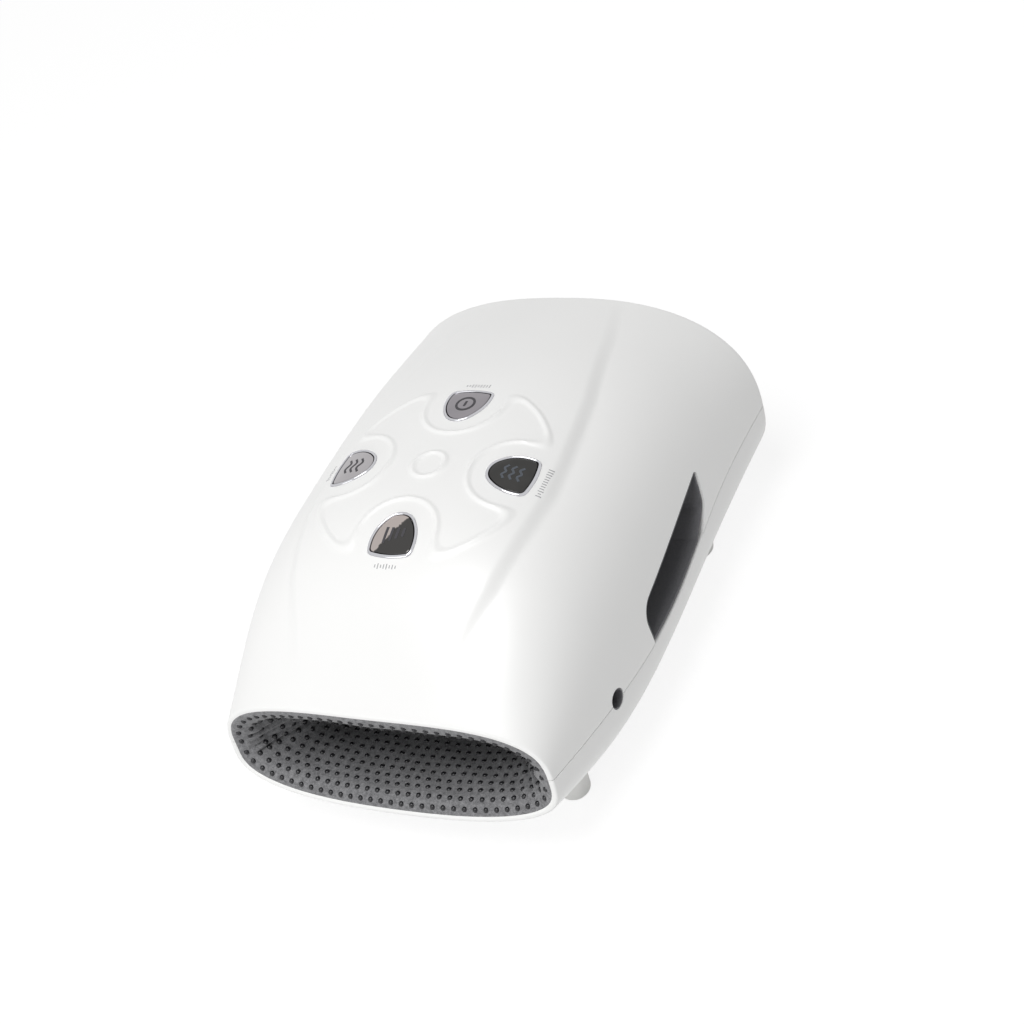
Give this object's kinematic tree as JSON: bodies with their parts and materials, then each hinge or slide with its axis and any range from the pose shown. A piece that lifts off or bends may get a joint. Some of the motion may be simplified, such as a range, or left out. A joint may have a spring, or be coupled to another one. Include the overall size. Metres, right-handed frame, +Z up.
{
  "type": "hand massager",
  "caption": "Cordless compression hand massager: tapered white shell, fabric-lined hand cavity, thumb slots, and sprung keys set in a clover on top.",
  "frame": {"origin": "centre of the bounding box in X and Y, at the bottom of the feet", "axes": "+Z up, -Y out of the finger mouth, +X towards the charging port's side"},
  "size_m": [0.164, 0.2216, 0.1076],
  "materials": {
    "shell_white": "satin",
    "key_rim": "polished",
    "key_face": "polished",
    "fabric_grey": "matte",
    "sleeve_dark": "matte",
    "frame_grey": "matte",
    "board_green": "satin",
    "chip_black": "matte",
    "steel": "brushed",
    "brass": "satin",
    "bag_grey": "matte",
    "foam_white": "matte",
    "heater_orange": "satin",
    "battery_blue": "gloss",
    "hose_clear": "satin"
  },
  "bodies": {
    "casing": {"top_shell": "shell_white", "bottom_shell": "shell_white", "front_right_foot": "shell_white", "front_left_foot": "shell_white", "rear_right_foot": "shell_white", "rear_left_foot": "shell_white", "power_bezel": "key_rim", "heat_bezel": "key_rim", "level_bezel": "key_rim", "vibration_bezel": "key_rim", "upper_liner": "fabric_grey", "lower_liner": "fabric_grey", "finger_mouth_ring": "fabric_grey", "wrist_mouth_ring": "fabric_grey", "right_thumb_sleeve": "sleeve_dark", "left_thumb_sleeve": "sleeve_dark", "upper_cradle": "frame_grey", "lower_cradle": "frame_grey", "pump_saddle": "frame_grey", "battery_tray": "frame_grey", "valve_saddle": "frame_grey", "right_motor_clamp": "frame_grey", "left_motor_clamp": "frame_grey", "pump_head": "frame_grey", "hose_tee": "frame_grey", "control_board": "board_green", "tact_switches": "chip_black", "board_chips": "chip_black", "charging_jack": "chip_black", "release_valve": "chip_black", "board_screws": "steel", "cradle_screws": "steel", "wrist_ring_screws": "steel", "pump_motor": "steel", "right_vibration_motor": "steel", "left_vibration_motor": "steel", "upper_airbag": "bag_grey", "foam_pad": "foam_white", "heating_pad": "heater_orange", "battery_pack": "battery_blue", "pump_hose": "hose_clear", "valve_hose": "hose_clear", "airbag_hose": "hose_clear"},
    "power_key_body": {"power_key": "key_face"},
    "heat_key_body": {"heat_key": "key_face"},
    "level_key_body": {"level_key": "key_face"},
    "vibration_key_body": {"vibration_key": "key_face"},
    "pump_crank_body": {"pump_crank": "steel"},
    "valve_plunger_body": {"valve_plunger": "steel"},
    "right_eccentric_weight_body": {"right_eccentric_weight": "brass"},
    "left_eccentric_weight_body": {"left_eccentric_weight": "brass"}
  },
  "joints": [
    {"name": "power_press", "type": "slide", "parent": "casing", "child": "power_key_body", "axis": [0, 0, -1], "range_m": [0, 0.0006], "stiffness_N_per_m": 800},
    {"name": "heat_press", "type": "slide", "parent": "casing", "child": "heat_key_body", "axis": [0, 0, -1], "range_m": [0, 0.0006], "stiffness_N_per_m": 800},
    {"name": "level_press", "type": "slide", "parent": "casing", "child": "level_key_body", "axis": [0, 0, -1], "range_m": [0, 0.0006], "stiffness_N_per_m": 800},
    {"name": "vibration_press", "type": "slide", "parent": "casing", "child": "vibration_key_body", "axis": [0, 0, -1], "range_m": [0, 0.0006], "stiffness_N_per_m": 800},
    {"name": "pump_turn", "type": "hinge", "parent": "casing", "child": "pump_crank_body", "pos_m": [-0.024, -0.012, 0.078], "axis": [0, 1, 0], "continuous": true},
    {"name": "valve_stroke", "type": "slide", "parent": "casing", "child": "valve_plunger_body", "axis": [-1, 0, 0], "range_m": [0, 0.001], "stiffness_N_per_m": 400},
    {"name": "right_vibration_turn", "type": "hinge", "parent": "casing", "child": "right_eccentric_weight_body", "pos_m": [0.03, 0.06, 0.079], "axis": [0, 1, 0], "continuous": true},
    {"name": "left_vibration_turn", "type": "hinge", "parent": "casing", "child": "left_eccentric_weight_body", "pos_m": [-0.03, 0.06, 0.079], "axis": [0, 1, 0], "continuous": true}
  ]
}
